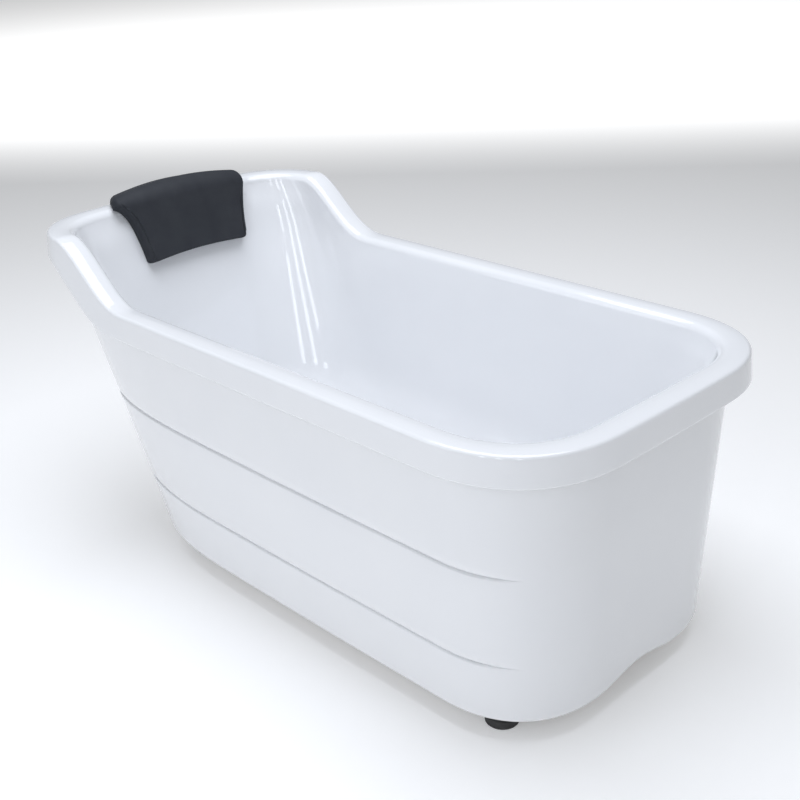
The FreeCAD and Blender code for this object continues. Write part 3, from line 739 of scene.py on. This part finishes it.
hose_length = (hose_x - HOSE_BEND - hose_start) + HOSE_BEND * pi / 2 + (
    hose_top - hose_low - HOSE_BEND)
rings, distance = [hose_ring(0.0, 0.0085), hose_ring(0.0, HOSE_OUT)], 0.026
rings.append(hose_ring(0.025, HOSE_OUT))
while distance < hose_length - 0.022 - HOSE_PITCH:
    for part, radius in ((0.0, HOSE_IN), (0.18, HOSE_IN), (0.34, 0.0105), (0.46, HOSE_OUT),
                         (0.70, HOSE_OUT), (0.84, 0.0105)):
        rings.append(hose_ring(distance + HOSE_PITCH * part, radius))
    distance += HOSE_PITCH
rings += [hose_ring(hose_length - 0.018, HOSE_OUT), hose_ring(hose_length, HOSE_OUT),
          hose_ring(hose_length, 0.0085)]


def grey_polymer():
    material, tree, shader = principled("grey_polypropylene")
    cloud = noise(tree, 25.0, 3.0)
    tone = ramp(tree, cloud, [(0.3, (0.50, 0.51, 0.52)), (0.7, (0.58, 0.585, 0.59))])
    tree.links.new(tone, shader.inputs["Base Color"])
    shader.inputs["Roughness"].default_value = 0.38
    shader.inputs["Subsurface Weight"].default_value = 0.05
    return material


grey = grey_polymer()
lathe("overflow_corrugated_hose", rings, grey, "tub", ["overflow_hose"], 40, 1.0)

# ---- frame, board and small parts: the finishes of the nodes that come as they are.
# Square tube is hot-dip galvanised and MIG welded; the board is sealed with resin.
def spangled_zinc():
    material, tree, shader = principled("hot_dip_zinc")
    place = tree.nodes.new("ShaderNodeTexCoord")
    cells = tree.nodes.new("ShaderNodeTexVoronoi")
    cells.inputs["Scale"].default_value = 95.0
    tree.links.new(place.outputs["Object"], cells.inputs["Vector"])
    tone = ramp(tree, cells.outputs["Color"], [(0.1, (0.42, 0.44, 0.46)),
                                               (0.9, (0.62, 0.63, 0.64))])
    tree.links.new(tone, shader.inputs["Base Color"])
    shader.inputs["Metallic"].default_value = 1.0
    rough = ramp(tree, cells.outputs["Color"], [(0.1, (0.36,) * 3), (0.9, (0.55,) * 3)])
    tree.links.new(rough, shader.inputs["Roughness"])
    return material


def sealed_board():
    material, tree, shader = principled("resin_sealed_board")
    flakes = noise(tree, 60.0, 5.0, 0.6, (0.35, 1.0, 1.0))
    tone = ramp(tree, flakes, [(0.3, (0.20, 0.13, 0.07)), (0.55, (0.34, 0.24, 0.14)),
                               (0.75, (0.45, 0.34, 0.21))])
    tree.links.new(tone, shader.inputs["Base Color"])
    shader.inputs["Roughness"].default_value = 0.5
    shader.inputs["Coat Weight"].default_value = 0.3
    tree.links.new(bump(tree, flakes, 0.0008, 0.6), shader.inputs["Normal"])
    return material


def black_polymer():
    material, tree, shader = principled("black_polyethylene")
    cloud = noise(tree, 50.0, 3.0)
    tone = ramp(tree, cloud, [(0.3, (0.022, 0.022, 0.023)), (0.7, (0.034, 0.034, 0.035))])
    tree.links.new(tone, shader.inputs["Base Color"])
    shader.inputs["Roughness"].default_value = 0.42
    return material


def clear_vinyl():
    material, tree, shader = principled("clear_vinyl")
    cloud = noise(tree, 40.0, 2.0)
    tone = ramp(tree, cloud, [(0.3, (0.78, 0.84, 0.86)), (0.7, (0.84, 0.88, 0.90))])
    tree.links.new(tone, shader.inputs["Base Color"])
    shader.inputs["Roughness"].default_value = 0.12
    shader.inputs["Transmission Weight"].default_value = 0.7
    shader.inputs["IOR"].default_value = 1.5
    return material


finishes = {"board": sealed_board(), "galvanised": spangled_zinc(), "zinc": zinc,
            "chrome": chrome, "black_plastic": black_polymer(), "black_rubber": rubber,
            "grey_plastic": grey, "clear_cup": clear_vinyl()}
for row in frame["record"]["subparts"]:
    node = frame["nodes"][row["node"]]
    if row["material_slot"] in finishes:
        node.data.materials.clear()
        node.data.materials.append(finishes[row["material_slot"]])

# ---- studio: a wide sheet of white paper, a soft box overhead, one to the left and three
# tall windows beside the camera, whose reflections run down the corners of the basin.
# Two more light only the paper behind the tub.
bm = bmesh.new()
bmesh.ops.create_grid(bm, x_segments=1, y_segments=1, size=20.0)
mesh = bpy.data.meshes.new("studio_floor")
floor = show("studio_floor", bm, mesh)


def studio_paper():
    material, tree, shader = principled("studio_paper")
    shader.inputs["Base Color"].default_value = (0.88, 0.88, 0.88, 1)
    shader.inputs["Roughness"].default_value = 0.9
    shader.inputs["Specular IOR Level"].default_value = 0.1
    shader.inputs["Emission Color"].default_value = (1, 1, 1, 1)
    shader.inputs["Emission Strength"].default_value = 0.23
    return material


floor.data.materials.append(studio_paper())

world = bpy.data.worlds.new("studio")
bpy.context.scene.world = world
world.use_nodes = True
world.node_tree.nodes["Background"].inputs["Color"].default_value = (0.97, 0.985, 1.0, 1)
world.node_tree.nodes["Background"].inputs["Strength"].default_value = 0.23


def soft_box(name, place, aim, size, radiance, colour=(1, 1, 1)):
    data = bpy.data.lights.new(name, "AREA")
    data.shape = "RECTANGLE"
    data.size, data.size_y = size
    data.energy = radiance * pi * size[0] * size[1]
    data.color = colour
    lamp = bpy.data.objects.new(name, data)
    lamp.location = place
    lamp.rotation_euler = (Vector(aim) - Vector(place)).to_track_quat("-Z", "Y").to_euler()
    bpy.context.scene.collection.objects.link(lamp)


COOL = (0.93, 0.97, 1.05)
soft_box("key", (-1.6, -3.2, 2.0), (0, 0, 0.3), (2.2, 2.0), 1.2, COOL)
soft_box("top", (0.0, 0.0, 3.2), (0, 0, 0.3), (3.0, 2.2), 3.6, COOL)
soft_box("backdrop", (-4.2, 4.6, 4.0), (-8.0, 8.8, 0), (10.0, 6.0), 3.0)
soft_box("floor_side", (3.6, 2.6, 3.0), (7.2, 5.2, 0), (4.0, 4.0), 2.0)
for place in ((0.95, -3.1, 1.7), (1.75, -2.9, 1.7), (2.55, -2.3, 1.7)):
    soft_box("window", place, (-0.3, 0, 0.5), (0.28, 1.9), 4.6, COOL)

camera_data = bpy.data.cameras.new("camera")
camera_data.lens = 53.4
camera_data.sensor_width = 36.0
camera_data.shift_x = 0.032
camera_data.shift_y = 0.0049
camera_data.clip_end = 50.0
camera = bpy.data.objects.new("camera", camera_data)
turn, tilt, roll = 0.8248, 0.4262, -0.0469
back = Vector((sin(turn) * cos(tilt), -cos(turn) * cos(tilt), sin(tilt)))
right = Vector((cos(turn), sin(turn), 0.0))
up = back.cross(right)
right_rolled = cos(roll) * right + sin(roll) * up
up_rolled = cos(roll) * up - sin(roll) * right
axes = Matrix((right_rolled, up_rolled, back)).transposed()
camera.matrix_world = Matrix.Translation((1.593, -1.471, 1.342)) @ axes.to_4x4()
bpy.context.scene.collection.objects.link(camera)
bpy.context.scene.camera = camera
bpy.context.scene.view_settings.view_transform = "Standard"
